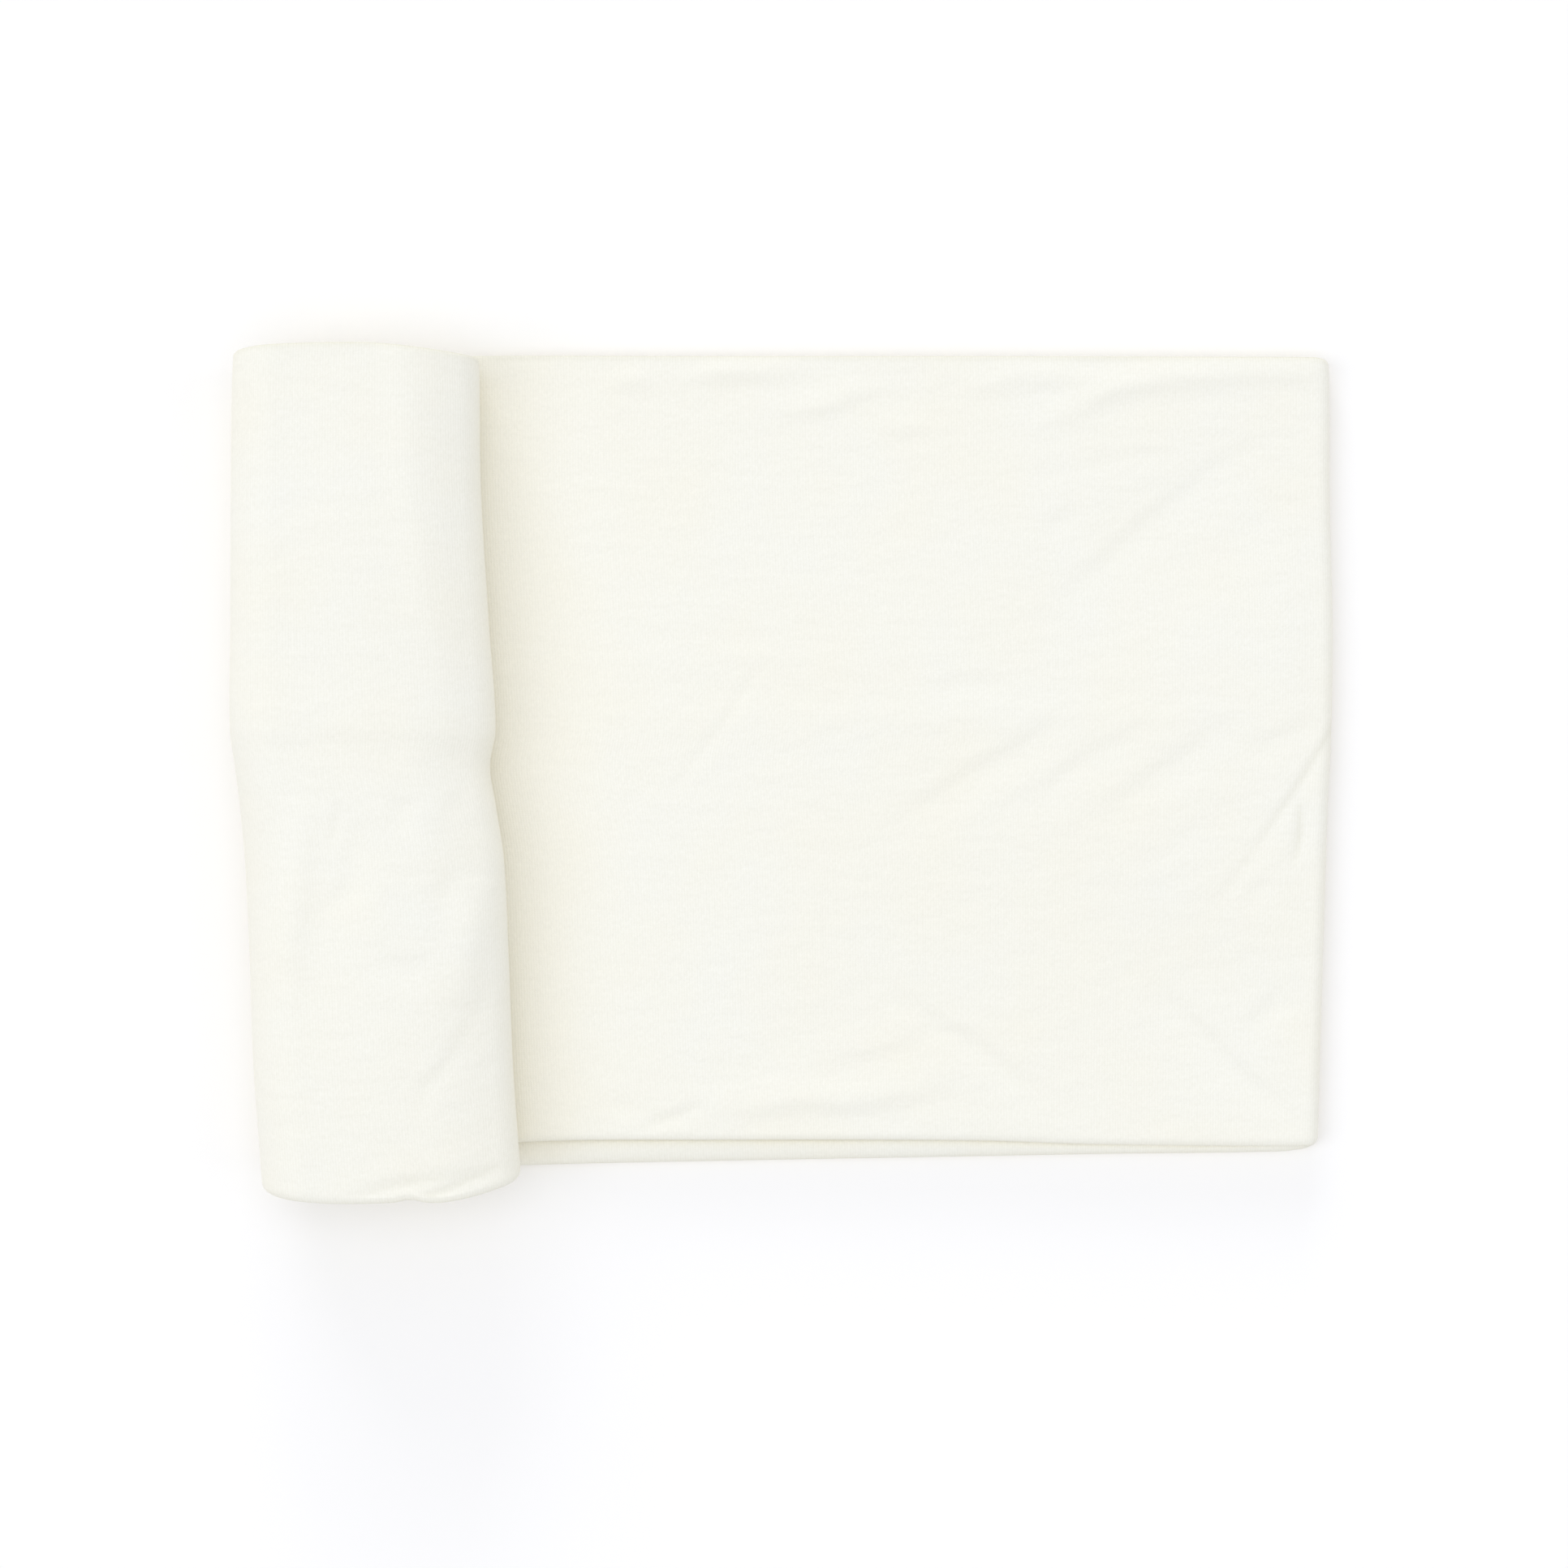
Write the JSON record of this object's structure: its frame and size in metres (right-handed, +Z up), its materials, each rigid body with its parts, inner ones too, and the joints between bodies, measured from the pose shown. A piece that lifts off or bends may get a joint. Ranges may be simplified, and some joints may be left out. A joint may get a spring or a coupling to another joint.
{
  "type": "swaddle blanket",
  "caption": "Square knit swaddle blanket, folded lengthwise to a layered band, doubled over at one end, rolled up from the other and lying flat between.",
  "frame": {"origin": "middle of the bounding box's bottom, on the surface that the blanket lies on", "axes": "+X from the roll towards the folded right end, +Y from the front lips towards the back edge, +Z up"},
  "size_m": [0.4126, 0.3178, 0.0448],
  "materials": {
    "knit": "matte, fine ribs of a plain jersey knit"
  },
  "bodies": {
    "root": {"blanket": "knit"}
  },
  "joints": []
}
